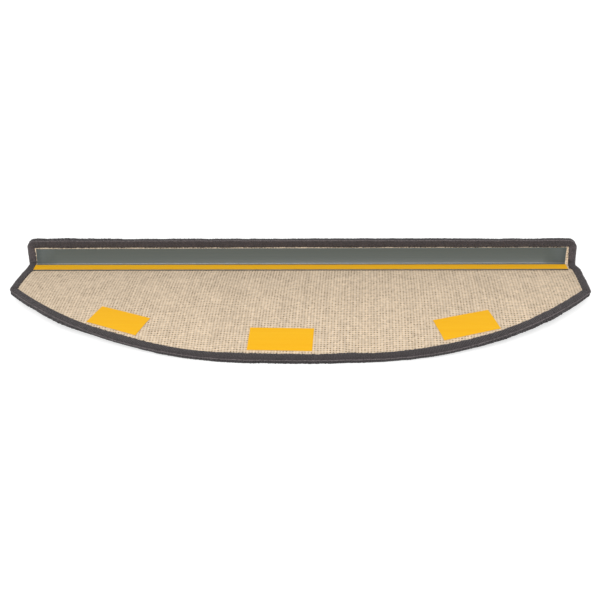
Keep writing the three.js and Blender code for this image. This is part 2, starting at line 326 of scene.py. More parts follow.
# Painted shade: the gaps darken towards brown at the pinholes between the rows, more at some than
# others.
in_hole_shade = add_node(
    woven,
    "MapRange",
    {0: row_wave, 1: -0.3, 2: 0.8, 3: 0.0, 4: 1.0},
    interpolation_type="SMOOTHSTEP",
).outputs[0]
hole_shade_depth = add_node(woven, "MapRange", {0: hole_chance, 3: 0.05, 4: 1.0}).outputs[0]
hole_shade = add_node(woven, "Math", {0: in_hole_shade, 1: hole_shade_depth}, operation="MULTIPLY").outputs[0]
gap = add_node(
    woven, "Mix", {0: hole_shade, 6: linear(GAP_TAN_AND_SHADE), 7: linear(HOLE_SHADE_BROWN)}, data_type="RGBA"
).outputs[2]
threads = add_node(
    woven, "Mix", {0: on_yarn, 6: gap, 7: linear(YARN_TAN)}, data_type="RGBA"
).outputs[2]
patches = add_node(
    woven,
    "TexNoise",
    {"Vector": cut_map, "Scale": 1 / PATCH_LENGTH, "Detail": 3.0},
    noise_dimensions="2D",
).outputs[0]
patch_tone = add_node(
    woven, "MapRange", {0: patches, 1: 0.3, 2: 0.7, 3: 0.98, 4: 1.02}
).outputs[0]
yarn_tone = add_node(woven, "MapRange", {0: yarn_chance, 3: 0.96, 4: 1.04}).outputs[0]
# Painted highlight on each yarn's crests and painted shade where it dips between the rows; each
# crest's own tone varies at random.
crest_light_and_shade = add_node(
    woven, "MapRange", {0: row_wave, 1: -1.0, 2: 1.0, 3: 1.06, 4: 0.91}
).outputs[0]
crest_tone = add_node(woven, "MapRange", {0: crest_chance, 3: 0.89, 4: 1.09}).outputs[0]
crest = add_node(woven, "Math", {0: crest_light_and_shade, 1: crest_tone}, operation="MULTIPLY").outputs[0]
yarn = add_node(woven, "Math", {0: patch_tone, 1: yarn_tone}, operation="MULTIPLY").outputs[0]
tone = add_node(woven, "Math", {0: yarn, 1: crest}, operation="MULTIPLY").outputs[0]
shade = add_node(woven, "HueSaturation", {"Value": tone, "Color": threads}).outputs[0]
fibre_map = add_node(
    woven,
    "VectorMath",
    {0: cut_map, 1: (1 / FIBRE_SIZE[0], 1 / FIBRE_SIZE[1], 1)},
    operation="MULTIPLY",
).outputs[0]
fibres = add_node(
    woven, "TexNoise", {"Vector": fibre_map, "Scale": 1.0, "Detail": 2.0}, noise_dimensions="2D"
).outputs[0]
fibre_bump = add_node(
    woven, "Bump", {"Height": fibres, "Strength": 0.6, "Distance": 0.2 * MM}
).outputs[0]
woven_surface = add_node(
    woven,
    "BsdfPrincipled",
    {"Base Color": shade, "Roughness": 0.85, "Specular IOR Level": 0.3, "Normal": fibre_bump},
)
add_node(woven, "OutputMaterial", {0: woven_surface.outputs[0]})

# Three points across each warp pitch make a gap and the yarn's flanks, and two along each row
# pitch make a crest and a dip.
random = np.random.default_rng(11)
warps = math.ceil(HALF_WIDTH / WARP_PITCH)
warp_steps = np.arange(-3 * warps, 3 * warps + 1)
warp_x = WARP_PITCH * (warp_steps // 3 + np.array(YARN_FLANKS)[warp_steps % 3])
row_steps = np.arange(2 * CLOTH_ROWS[0], 2 * CLOTH_ROWS[1])
row_v = ROW_PITCH * row_steps / 2
flat_x, flat_v = np.meshgrid(warp_x, row_v)
sway = np.array([wander(row_v, SWAY_LENGTH, random) for _ in range(2 * warps + 1)])
sway = YARN_SWAY * sway[(warp_steps + 1) // 3 + warps].T
in_gap = (warp_steps % 3 == 0)[None, :]
between_rows = (row_steps % 2 == 0)[:, None]
gap_drop = np.where(between_rows, GAP_DROP, CROSS_DROP)
drop = np.where(in_gap, gap_drop, np.where(between_rows, YARN_DIP, 0.0))
drop = drop * random.uniform(*DROP_SPREAD, drop.shape)
cloth_x = flat_x + sway + random.uniform(-YARN_STRAY, YARN_STRAY, flat_x.shape)
cloth_mesh, cloth_area = sheet_mesh(
    "backing_cloth", on_mat(cloth_x, flat_v, -drop), flat_x, flat_v
)
backing_cloth = add_piece("backing_cloth", cloth_mesh, woven, "backing_cloth", "woven_backing")


# Carpet pile
# The tread side is a dense pile of dark grey loops, tufted in rows along the fold, and lies on the
# floor here. Its edge goes into the binding.

# A loop's width along the fold and length across it, and its height in mm. Between two loops the
# pile is this part of the height deep, each point strays and is uneven by so much, and the yarn's
# twist has this pitch. The pile is so many loops wide to each side and long from the fold.
LOOP_ACROSS = 3.6
LOOP_ALONG = 3.2
LOOP_HEIGHT = 1.0
LOOP_SADDLE = 0.55
LOOP_STRAY = 0.35
LOOP_UNEVEN = 0.12
LOOP_TWIST = 0.625
PILE_COLUMNS = 90
PILE_ROWS = (-9, 64)

# The crowns' height over the backing, and where the pile ends at the binding and its ground cloth
# goes in at another height, in mm.
PILE_LOW = -6.0
PILE_INSET = 9.4
PILE_SUNK = -4.4

PILE_GREY = "#524c4a"
PILE_DARK = "#2f2c2b"

# Tufted polypropylene: matt and dark, with a painted highlight on each loop's crown and painted
# shade, nearly black, round its foot.
tufted = new_finish("tufted polypropylene loops")
cut_map = add_node(tufted, "UVMap", uv_map="cut").outputs[0]
loops = add_node(
    tufted,
    "VectorMath",
    {0: cut_map, 1: (1 / LOOP_ACROSS, 1 / LOOP_ALONG, 0)},
    operation="MULTIPLY",
).outputs[0]
loop_cell = add_node(tufted, "VectorMath", {0: loops}, operation="FLOOR").outputs[0]
loop_chance = add_node(
    tufted, "TexWhiteNoise", {0: loop_cell}, noise_dimensions="2D"
).outputs[0]
twist = add_node(
    tufted,
    "TexNoise",
    {"Vector": cut_map, "Scale": 1 / LOOP_TWIST, "Detail": 3.0},
    noise_dimensions="2D",
).outputs[0]
pile_tone = add_node(
    tufted, "Math", {0: loop_chance, 1: twist}, operation="MULTIPLY"
).outputs[0]
pile_colour = add_node(
    tufted, "Mix", {0: pile_tone, 6: linear(PILE_GREY), 7: linear(PILE_DARK)}, data_type="RGBA"
).outputs[2]
in_loop = add_node(tufted, "VectorMath", {0: loops}, operation="FRACTION").outputs[0]
from_crown = add_node(
    tufted, "VectorMath", {0: in_loop, 1: (0.5, 0.5, 0)}, operation="DISTANCE"
).outputs["Value"]
# Painted highlight on each loop's crown and painted shade round its foot.
loop_light_and_shade = add_node(
    tufted, "MapRange", {0: from_crown, 1: 0.2, 2: 0.65, 3: 1.2, 4: 0.45}
).outputs[0]
pile_shade = add_node(
    tufted, "HueSaturation", {"Value": loop_light_and_shade, "Color": pile_colour}
).outputs[0]
pile_bump = add_node(
    tufted, "Bump", {"Height": twist, "Strength": 0.8, "Distance": 0.4 * MM}
).outputs[0]
pile_surface = add_node(
    tufted,
    "BsdfPrincipled",
    {
        "Base Color": pile_shade,
        "Roughness": 0.95,
        "Specular IOR Level": 0.25,
        "Sheen Weight": 0.15,
        "Normal": pile_bump,
    },
)
add_node(tufted, "OutputMaterial", {0: pile_surface.outputs[0]})

# Two points across and two along each loop make its crown, its foot and the saddles between.
across_steps = np.arange(-2 * PILE_COLUMNS, 2 * PILE_COLUMNS + 1)
along_steps = np.arange(2 * PILE_ROWS[0], 2 * PILE_ROWS[1] + 1)
flat_x, flat_v = np.meshgrid(LOOP_ACROSS * across_steps / 2, LOOP_ALONG * along_steps / 2)
crown_here = (across_steps % 2 == 1)[None, :] & (along_steps % 2 == 1)[:, None]
foot_here = (across_steps % 2 == 0)[None, :] & (along_steps % 2 == 0)[:, None]
pile_w = PILE_LOW + LOOP_HEIGHT * np.where(crown_here, 0, np.where(foot_here, 1, LOOP_SADDLE))
pile_w = pile_w + random.uniform(-LOOP_UNEVEN, LOOP_UNEVEN, pile_w.shape)
pile_x = flat_x + random.uniform(-LOOP_STRAY, LOOP_STRAY, flat_x.shape)
pile_v = flat_v + random.uniform(-LOOP_STRAY, LOOP_STRAY, flat_v.shape)
pile_w = np.where(inside_cut(pile_x, pile_v, PILE_INSET), pile_w, PILE_SUNK)
pile_mesh, pile_area = sheet_mesh(
    "carpet_pile", on_mat(pile_x, pile_v, pile_w), flat_x, flat_v
)
pile_mesh.flip_normals()
carpet_pile = add_piece("carpet_pile", pile_mesh, tufted, "pile", "carpet_face")


# Edge binding
# Textured yarn is overlocked round the whole cut edge: close, slightly slanted stitches wrap the
# carpet from the backing to the pile, and a chain runs along the edge's upper corner, drawn lighter
# as a painted highlight.

# The stitches' pitch and slant in mm, and their yarn: half its width and depth in mm, how much of
# that depth it sinks, and how it tapers to what part of its width at its ends.
STITCH_PITCH = 1.7
STITCH_SLANT = 1.1
YARN_HALF_WIDTH = 1.0
YARN_HALF_DEPTH = 0.42
YARN_SINK = 0.6
STITCH_TAPER = 12.0
STITCH_END = 0.35

# The binding's insets from the outline and heights over the backing in mm, its bead round the
# edge, which is squarer than a half circle, and its core.
BINDING_WIDTH = 8.2
BINDING_SHOULDER = 5.6
BINDING_TOP = 1.25
BINDING_LOW = -5.7
BEAD_REACH = 2.6
BEAD_SQUARE = 0.6
CORE_DEPTH = 0.55
CORE_STEP = 3.0

# The chain's inset and height at the bead's corner, how much farther back it lies on the flap, its
# yarn's radius, the pitch of its twist and its coil's half width and height, in mm.
CHAIN_INSET = -0.3
CHAIN_HEIGHT = -0.4
CHAIN_BACK = 0.8
CHAIN_YARN = 0.42
CHAIN_TWIST = 3.4
CHAIN_COIL = (0.36, 0.22)
CHAIN_STEP = 0.85

# The mat is cut and bound by hand. How far its left and right sides stray along x at a distance v
# from the fold, fully at the side and not at all further in than SIDES_FROM, and how far the
# flap's edge strays towards the fold at an x, in mm.
SIDES_FROM = 230.0
CUT_AT = (-30, -20, -10, 0, 6, 20, 40, 85)
CUT_LEFT = (-0.8, -0.7, -0.1, -0.1, 0.4, 1.6, 2.2, 2.2)
CUT_RIGHT = (-0.5, -0.8, -1.3, -1.3, -1.9, 0.5, 0, 0)
FLAP_AT = (-325, 0, 120, 325)
FLAP_BY = (0.4, 0.4, 0.8, 1.3)

# How much farther the stitches reach over the backing in places, in mm: on the front edge and the
# flap at an x, and on the left and right sides at a distance v from the fold, where the angle ends.
REACH_AT = (-325, -246, -201, -179, -134, -101, -67, -22, 34, 67, 89, 134, 179, 224, 325)
REACH_BY = (-1.7, -1.9, 0.1, 0.9, -0.3, -1.1, 0, 0.5, -0.7, 0.9, -0.5, 0.7, 0.8, -0.5, 0.2)
FLAP_REACH = (0.35, 0.35, 0.1, -0.1)
SIDE_AT = (-12, 2, 12, 21, 24, 38)
LEFT_REACH = (0, 0, 0.3, 1.9, 2.4, 0)
RIGHT_REACH = (0, -2.0, 0.5, 3.0, 0, 0)

# The pile's fringe that the stitches press outwards, on the front edge and on the flap, in mm, and
# what part of that it rises.
FRINGE_AT = (-325, -246, -207, -168, -129, -50, -10, 67, 106, 185, 224, 263, 297, 325)
FRONT_FRINGE = (2.1, 2.7, -0.9, -1.3, 0.6, 1.0, 1.2, 1.3, 0.3, 0.1, 1.8, 3.6, 1.9, 0.1)
FLAP_FRINGE = (2.3, 2.3, 1.4, 1.4, 1.5, 1.1, 1.4, 1.3, 1.6, 1.6, 1.2, 1.1, 1.5, 1.5)
FRINGE_RISE = 0.3

# Painted light and shade on the yarn: painted shade in the fringe below the edge, at these heights
# over the backing, and a painted highlight on the flap's short sides, where the stitches lie level.
FRINGE_SHADE_LEVELS = ((-3.4, -1.2), (0.62, 1.0))
FLAP_SIDE_HIGHLIGHT = 1.9

# The yarn's fuzz and its cloudy tones, in mm.
FUZZ_SIZE = 1.11
STAIN_SIZE = 8.33

BINDING_GREY = "#453e3f"
BINDING_DARK = "#2c2729"
# The chain's paler grey is a painted highlight along the edge's crest.
CHAIN_HIGHLIGHT_GREY = "#786f70"


def steps_round(rim):
    """Distances from each point of a closed outline to the next."""
    return np.hypot(*(np.roll(rim[:, :2], -1, axis=0) - rim[:, :2]).T)


right_side, left_side = (
    np.array([(side * HALF_WIDTH, v, side, 0.0) for v in np.arange(corner_v, stop, RIM_STEP)])
    for side, stop in ((1, front_rim[-1, 1]), (-1, front_rim[0, 1]))
)
straight = np.linspace(-flap_corner, flap_corner, round(2 * flap_corner / RIM_STEP))[1:-1]
flap_top = np.array([(x, -FLAP_HEIGHT, 0.0, -1.0) for x in straight])
rim = np.vstack(
    [
        front_rim,
        right_side[::-1],
        flap_right[::-1],
        flap_top[::-1],
        flap_left[::-1],
        left_side,
    ]
)
near_side = np.clip((np.abs(rim[:, 0]) - SIDES_FROM) / (HALF_WIDTH - SIDES_FROM), 0, 1) ** 2
cut_left, cut_right = (np.interp(rim[:, 1], CUT_AT, cut) for cut in (CUT_LEFT, CUT_RIGHT))
up_flap = np.clip(-rim[:, 1] / FLAP_HEIGHT, 0, 1)
rim[:, 1] += up_flap * np.interp(rim[:, 0], FLAP_AT, FLAP_BY)
rim[:, 0] += near_side * np.where(rim[:, 0] < 0, cut_left, cut_right)
rim = rim[steps_round(rim) > 1e-6]
rim_place = np.concatenate([[0], np.cumsum(steps_round(rim))])
rim_length = rim_place[-1]
rim = np.vstack([rim, rim[:1]])


def at_rim(place, inset, height):
    """Place in metres at a distance round the outline, an inset from it and a height."""
    place, inset, height = np.broadcast_arrays(place, inset, height)
    x, v, out_x, out_v = (np.interp(place % rim_length, rim_place, rim[:, i]) for i in range(4))
    return on_mat(x - inset * out_x, v - inset * out_v, height)


def tubes_mesh(name, rings, closed, levels):
    """Mesh of tubes from rings of points, by tube, ring and point, each point with its level."""
    tubes, along, around = rings.shape[:3]
    index = np.arange(tubes * along * around).reshape(tubes, along, around)
    ahead = np.roll(index, -1, axis=1)
    if not closed:
        index, ahead = index[:, :-1], ahead[:, :-1]
    quads = [index, np.roll(index, -1, axis=2), np.roll(ahead, -1, axis=2), ahead]
    faces = np.stack(quads, axis=-1).reshape(-1, 4).tolist()
    if not closed:
        faces += index[:, 0, ::-1].tolist() + ahead[:, -1].tolist()
    mesh = bpy.data.meshes.new(name)
    mesh.from_pydata(rings.reshape(-1, 3).tolist(), [], faces)
    level = np.broadcast_to(levels, rings.shape[:3]).astype(np.float32).ravel()
    mesh.attributes.new("level", "FLOAT", "POINT").data.foreach_set("value", level)
    mesh.shade_smooth()
    return mesh


# The binding's section, from its inner edge on the backing round the mat's edge and back under the
# pile: inset from the outline and height over the backing, in mm.
middle_height = (BINDING_TOP + BINDING_LOW) / 2
half_height = (BINDING_TOP - BINDING_LOW) / 2
bead_angle = np.radians(np.linspace(90, -90, 9))
bead_out = np.abs(np.cos(bead_angle)) ** BEAD_SQUARE
bead_up = np.sign(np.sin(bead_angle)) * np.abs(np.sin(bead_angle)) ** BEAD_SQUARE
section = np.array(
    [
        (BINDING_WIDTH + 0.1, -0.3),
        (BINDING_WIDTH - 0.1, 0.75),
        (BINDING_WIDTH - 0.9, BINDING_TOP - 0.08),
        (BINDING_SHOULDER, BINDING_TOP),
        *zip(BEAD_REACH * (1 - bead_out), middle_height + half_height * bead_up),
        (BINDING_SHOULDER, BINDING_LOW),
        (BINDING_WIDTH - 0.9, BINDING_LOW + 0.08),
        (BINDING_WIDTH - 0.1, BINDING_LOW + 0.5),
        (BINDING_WIDTH + 0.1, BINDING_LOW + 1.5),
    ]
)
heading = np.gradient(section, axis=0)
heading /= np.linalg.norm(heading, axis=1, keepdims=True)
outward = np.stack([heading[:, 1], -heading[:, 0]], axis=1)


def yarn_finish(name, deep, pale):
    """Textured yarn in two shades, with painted light and shade from the level on its mesh."""
    finish = new_finish(name)
    place_map = add_node(finish, "TexCoord").outputs["Object"]
    fuzz = add_node(
        finish, "TexNoise", {"Vector": place_map, "Scale": 1 / (MM * FUZZ_SIZE), "Detail": 3.0}
    ).outputs[0]
    stains = add_node(
        finish, "TexNoise", {"Vector": place_map, "Scale": 1 / (MM * STAIN_SIZE), "Detail": 2.0}
    ).outputs[0]
    yarn_depth = add_node(finish, "MapRange", {0: fuzz, 1: 0.35, 2: 0.65}).outputs[0]
    yarn_colour = add_node(
        finish, "Mix", {0: yarn_depth, 6: linear(deep), 7: linear(pale)}, data_type="RGBA"
    ).outputs[2]
    yarn_tone = add_node(
        finish, "MapRange", {0: stains, 1: 0.3, 2: 0.7, 3: 0.88, 4: 1.12}
    ).outputs[0]
    level = add_node(finish, "Attribute", attribute_name="level").outputs["Fac"]
    yarn_tone_and_light = add_node(finish, "Math", {0: yarn_tone, 1: level}, operation="MULTIPLY").outputs[0]
    yarn_shade = add_node(
        finish, "HueSaturation", {"Value": yarn_tone_and_light, "Color": yarn_colour}
    ).outputs[0]
    yarn_bump = add_node(
        finish, "Bump", {"Height": fuzz, "Strength": 0.8, "Distance": 0.3 * MM}
    ).outputs[0]
    yarn_surface = add_node(
        finish,
        "BsdfPrincipled",
        {
            "Base Color": yarn_shade,
            "Roughness": 0.8,
            "Specular IOR Level": 0.35,
            "Sheen Weight": 0.2,
            "Normal": yarn_bump,
        },
    )
    add_node(finish, "OutputMaterial", {0: yarn_surface.outputs[0]})
    return finish


# Textured polyester yarn: dark and matt with a soft sheen, a little cloudy along the edge. Its fuzz
# is finer than the render can show and is drawn coarser. The chain's yarn is drawn a shade lighter,
# a painted highlight that makes a thin pale line along the edge's crest.
overlock = yarn_finish("textured polyester yarn", BINDING_DARK, BINDING_GREY)
chain = yarn_finish("polyester chain with painted highlight", BINDING_GREY, CHAIN_HIGHLIGHT_GREY)

random = np.random.default_rng(23)
stitches = round(rim_length / STITCH_PITCH)
stitch_place = np.arange(stitches) * rim_length / stitches


def strayed(drift, over, jitter):
    """Random numbers for the stitches: a drift over a length in mm, and a jitter at each one."""
    return drift * wander(stitch_place, over, random) + jitter * random.uniform(-1, 1, stitches)


reach = strayed(drift=0.25, over=18.0, jitter=0.45)
swell = strayed(drift=0.25, over=9.0, jitter=0.15)
stitch_x, stitch_v, stitch_out = (np.interp(stitch_place, rim_place, rim[:, i]) for i in (0, 1, 3))
on_front = np.clip(stitch_out, 0, 1)
on_flap = np.clip(-stitch_out, 0, 1)
fringe = on_front * np.interp(stitch_x, FRINGE_AT, FRONT_FRINGE)
fringe += on_flap * np.interp(stitch_x, FRINGE_AT, FLAP_FRINGE)
fringe *= 1 + (0.2 + 0.1 * stitch_out) * strayed(drift=1.0, over=12.0, jitter=0.7)
reach *= 1 - 0.25 * on_flap
reach += on_flap * np.interp(stitch_x, FLAP_AT, FLAP_REACH)
reach += on_front * np.interp(stitch_x, REACH_AT, REACH_BY)
reach += (stitch_x < -flap_corner) * np.interp(stitch_v, SIDE_AT, LEFT_REACH)
reach += (stitch_x > flap_corner) * np.interp(stitch_v, SIDE_AT, RIGHT_REACH)

# A stitch is a flat yarn that follows the section from end to end, thinner at both ends. The reach
# moves its inner part, the swell its outer part, and the fringe only what of that is by the pile.
run = np.linspace(0, 1, len(section))
inner = np.clip((section[:, 0] - BEAD_REACH) / (BINDING_WIDTH - BEAD_REACH), 0, 1)
outer = 1 - inner
by_pile = np.clip(0.3 - (section[:, 1] - middle_height) / half_height, 0, 1) * outer
inset = section[:, 0] + reach[:, None] * inner - swell[:, None] * outer - fringe[:, None] * by_pile
height = section[:, 1] + FRINGE_RISE * fringe[:, None] * by_pile
slant = STITCH_SLANT * (1 - 2 * run) * inner
ring_angle = np.radians([0, 72, 144, 216, 288]) + math.pi / 2
taper = np.clip(np.minimum(run, 1 - run) * STITCH_TAPER + STITCH_END, 0, 1)
across = YARN_HALF_WIDTH * np.cos(ring_angle) * taper[:, None]
depth = YARN_HALF_DEPTH * (np.sin(ring_angle) - YARN_SINK)
stitch_rings = at_rim(
    (stitch_place[:, None] + slant)[:, :, None] + across,
    inset[:, :, None] + (outward[:, 0, None] * depth),
    height[:, :, None] + outward[:, 1, None] * depth,
)
# Painted shade on the fringe below the edge and a painted highlight on the flap's short sides.
on_flap_side = np.clip(-stitch_v / 6, 0, 1) * np.clip(1 - np.abs(stitch_out), 0, 1)
side_highlight = 1 + (FLAP_SIDE_HIGHLIGHT - 1) * on_flap_side[:, None]
painted_light = np.interp(section[:, 1], *FRINGE_SHADE_LEVELS) * side_highlight
stitch_mesh = tubes_mesh(
    "binding_stitches", stitch_rings, closed=False, levels=painted_light[:, :, None]
)
add_piece("binding_stitches", stitch_mesh, overlock, "binding_yarn", "edge_binding")

# The core fills the section under the stitches, so that nothing shows between them.
core_place = np.linspace(0, rim_length, round(rim_length / CORE_STEP), endpoint=False)
core_inner = [(BINDING_WIDTH - 1.2, BINDING_LOW + 1.8), (BINDING_WIDTH - 1.2, -0.6)]
core_section = np.vstack([section - CORE_DEPTH * outward, core_inner])
core_rings = at_rim(core_place[:, None], core_section[:, 0], core_section[:, 1])
# The core gets the same painted shade in the fringe.
painted_light = np.interp(core_section[:, 1], *FRINGE_SHADE_LEVELS)
core_mesh = tubes_mesh("binding_core", core_rings[None], closed=True, levels=painted_light)
add_piece("binding_core", core_mesh, overlock, "binding_yarn", "edge_binding")

# The chain is two strands that coil round each other once in every twist.
chain_steps = round(rim_length / CHAIN_STEP)
chain_place = np.linspace(0, rim_length, chain_steps, endpoint=False)
turns = round(rim_length / CHAIN_TWIST)
chain_turn = 2 * math.pi * turns * chain_place / rim_length
swell_here = np.interp(chain_place, stitch_place, swell, period=rim_length)
chain_back = CHAIN_BACK * np.clip(-np.interp(chain_place, rim_place, rim[:, 3]), 0, 1)
ring_angle = np.radians(np.arange(5) * 72)
strand_rings = []
for phase in (0, math.pi):
    coil_side = CHAIN_COIL[0] * np.cos(chain_turn + phase)
    coil_lift = CHAIN_COIL[1] * np.sin(chain_turn + phase)
    strand_inset = CHAIN_INSET + chain_back - swell_here + coil_side
    strand_height = CHAIN_HEIGHT + chain_back + coil_lift
    strand_rings.append(
        at_rim(
            chain_place[:, None],
            strand_inset[:, None] + CHAIN_YARN * np.cos(ring_angle),
            strand_height[:, None] + CHAIN_YARN * np.sin(ring_angle),
        )
    )
chain_mesh = tubes_mesh("binding_chain", np.array(strand_rings), closed=True, levels=1.0)
add_piece("binding_chain", chain_mesh, chain, "binding_yarn", "edge_binding")


# Nosing angle
# An extruded plastic angle that hooks over the stair's nosing is glued into the fold: one leg
# stands against the flap and the other lies on the tread.

# The angle's ends along the fold, its height, thickness, layer of glue, inner fillet and rounded
# lips, and how much thicker its inner corner is, in mm. It is drawn from so many cross sections.
ANGLE_START = -315.2
ANGLE_END = 311.7
ANGLE_TOP = 19.7
ANGLE_THICKNESS = 1.1
ANGLE_GLUE = 0.15
ANGLE_FILLET = 1.0
ANGLE_LIP = 0.3
ANGLE_WEB = 2.3
ANGLE_CUTS = 25

# The angle is cut and glued in by hand. It stands a little askew, this much out from the flap at
# its ends, and both ends are cut with a slant, in mm.
ASKEW_AT = (-315.2, 311.7)
ASKEW_BY = (1.5, 0.3)
LEFT_SLANT = 2.6
RIGHT_SLANT = 1.6

# The length and width of the lines that the die draws, and where the painted highlight along the
# inner corner ends, by the distance out from the flap and up from the tread together, in mm.
DRAWN_LINE = (250.0, 1.11)
CORNER_HIGHLIGHT_END = (6.1, 5.8)

PLASTIC_GREY = "#48504d"
PLASTIC_LIGHT = "#525956"
CORNER_HIGHLIGHT_GREY = "#6b6e6c"

# Extruded PVC: smooth grey green with a half gloss, so that it dimly mirrors the cloth, and a thin
# silvery painted highlight along its inner corner. The lines from the die are finer than the render
# can show and are drawn coarser.
extruded = new_finish("extruded grey PVC")
place_map = add_node(extruded, "TexCoord").outputs["Object"]
drawn_map = add_node(
    extruded,
    "VectorMath",
    {0: place_map, 1: [1 / (MM * size) for size in DRAWN_LINE + DRAWN_LINE[1:]]},
    operation="MULTIPLY",
).outputs[0]
drawn = add_node(
    extruded, "TexNoise", {"Vector": drawn_map, "Scale": 1.0, "Detail": 2.0}
).outputs[0]
plastic_colour = add_node(
    extruded, "Mix", {0: drawn, 6: linear(PLASTIC_GREY), 7: linear(PLASTIC_LIGHT)}, data_type="RGBA"
).outputs[2]
# Painted highlight: a paler grey along the inner corner, by the distance from it.
from_corner = add_node(extruded, "Attribute", attribute_name="level").outputs["Fac"]
in_corner_highlight = add_node(
    extruded, "MapRange", {0: from_corner, 1: CORNER_HIGHLIGHT_END[0], 2: CORNER_HIGHLIGHT_END[1]}
).outputs[0]
angle_colour = add_node(
    extruded, "Mix", {0: in_corner_highlight, 6: plastic_colour, 7: linear(CORNER_HIGHLIGHT_GREY)}, data_type="RGBA"
).outputs[2]
drawn_bump = add_node(
    extruded, "Bump", {"Height": drawn, "Strength": 0.15, "Distance": 0.1 * MM}
).outputs[0]
plastic_surface = add_node(
    extruded,
    "BsdfPrincipled",
    {"Base Color": angle_colour, "Roughness": 0.27, "IOR": 1.53, "Normal": drawn_bump},
)
add_node(extruded, "OutputMaterial", {0: plastic_surface.outputs[0]})


def rounded(centre, radius, start, stop, steps=6):
    """Arc of a section, in degrees, as (out from the flap, up from the tread) points in mm."""
    angle = np.radians(np.linspace(start, stop, steps + 1))
    return np.asarray(centre) + radius * np.stack([np.cos(angle), np.sin(angle)], axis=1)


# The section starts at the standing leg's top, goes down round the fold and out to the level leg's
# end, and comes back over the thicker inner corner.
flange_top = ANGLE_GLUE + ANGLE_THICKNESS
fillet_at = flange_top + ANGLE_FILLET
profile = np.vstack(
    [
        rounded((ANGLE_GLUE + ANGLE_LIP, ANGLE_TOP - ANGLE_LIP), ANGLE_LIP, 90, 180, 3),
        rounded((FOLD_RADIUS, FOLD_RADIUS), FOLD_RADIUS - ANGLE_GLUE, 180, 270),
        rounded((FLANGE_DEPTH - ANGLE_LIP, ANGLE_GLUE + ANGLE_LIP), ANGLE_LIP, -90, 0, 3),
        rounded((FLANGE_DEPTH - ANGLE_LIP, flange_top - ANGLE_LIP), ANGLE_LIP, 0, 90, 3),
        rounded((fillet_at + ANGLE_WEB, fillet_at), ANGLE_FILLET, 270, 180, 3),
        [(flange_top + ANGLE_WEB / 4, ANGLE_TOP / 2), (flange_top, ANGLE_TOP - 2 * ANGLE_LIP)],
        rounded((flange_top - ANGLE_LIP, ANGLE_TOP - ANGLE_LIP), ANGLE_LIP, 0, 90, 3),
    ]
)


def on_angle(x, out, up):
    """Place in metres of x along the fold, out from the flap and up from the tread, in mm."""
    x, out, up = np.broadcast_arrays(x, out + np.interp(x, ASKEW_AT, ASKEW_BY), up)
    along = up * math.sin(lean) - out * math.cos(lean)
    rise = up * math.cos(lean) + out * math.sin(lean)
    return np.stack([MM * x, fold_y + MM * along, fold_z + MM * rise], axis=-1)


angle_x = np.linspace(ANGLE_START, ANGLE_END, ANGLE_CUTS)
end_slant = RIGHT_SLANT * (angle_x > ANGLE_END - 1)[:, None] * profile[:, 1] / ANGLE_TOP
end_slant += LEFT_SLANT * (angle_x < ANGLE_START + 1)[:, None] * profile[:, 0] / FLANGE_DEPTH
angle_rings = on_angle(angle_x[:, None] + end_slant, profile[:, 0], profile[:, 1])
angle_mesh = tubes_mesh(
    "angle", angle_rings[None, :, ::-1], closed=False, levels=profile.sum(axis=1)[::-1]
)
add_piece("plastic_angle", angle_mesh, extruded, "angle_plastic", "nosing_angle")


# Adhesive strip and pads
# A strip of adhesive on the angle's level leg and three foam pads on the cloth stick the mat to the
# stair. Each still has its liner: yellow release paper with a smooth silicone coat.

# The strip's front edge from the fold, the heights of the liners' undersides over the backing, the
# films' thicknesses and small gaps in mm, and how many points each film has.
STRIP_FRONT = 24.8
STRIP_LINER_LOW = 1.65
STRIP_GRID = (80, 4)
TAPE_INSET = 0.1
LINER_THICKNESS = 0.15
LINER_GAP = 0.09
FILM_WAVE = 0.04
PAD_LINER_LOW = 0.75
PAD_GRID = (16, 9)

# Each pad's middle along the fold and in from the binding, its length and width in mm, and its
# turn in degrees.
PADS = {
    "left": (-184.0, 21.7, 61.2, 30.5, 21.0),
    "centre": (-7.0, 21.5, 67.5, 33.9, 1.0),
    "right": (186.0, 24.0, 62.0, 33.5, -17.6),
}

# The length and width of the liners' streaks, and the tapes' mottle, in mm.
STREAK_SIZE = (167.0, 3.85)
MOTTLE_SIZE = 2.0

LINER_YELLOW = "#ffc016"
LINER_DEEP = "#fdb90c"
# The adhesive's tan and brown are drawn darker, painted shade along the strip's edge.
ADHESIVE_SHADE_TAN = "#8d8069"
ADHESIVE_SHADE_BROWN = "#786c57"
FOAM_CREAM = "#dccba9"
FOAM_SHADE = "#cbb994"


def film_mesh(name, places, low, thickness, random):
    """Closed film over a grid of flat places, with a faint waviness."""
    wave = FILM_WAVE * random.uniform(-1, 1, places.shape[:2])
    skins = [on_mat(places[..., 0], places[..., 1], w + wave) for w in (low, low + thickness)]
    index = np.arange(wave.size).reshape(wave.shape)
    over = grid_quads(index + wave.size).reshape(-1, 4)
    under = grid_quads(index).reshape(-1, 4)[:, [0, 3, 2, 1]]
    edge = np.concatenate([index[0, :-1], index[:-1, -1], index[-1, :0:-1], index[:0:-1, 0]])
    ahead = np.roll(edge, -1)
    wall = np.stack([edge, ahead, ahead + wave.size, edge + wave.size], axis=-1)
    mesh = bpy.data.meshes.new(name)
    points = np.array(skins).reshape(-1, 3)
    mesh.from_pydata(points.tolist(), [], np.concatenate([over, under, wall]).tolist())
    return mesh


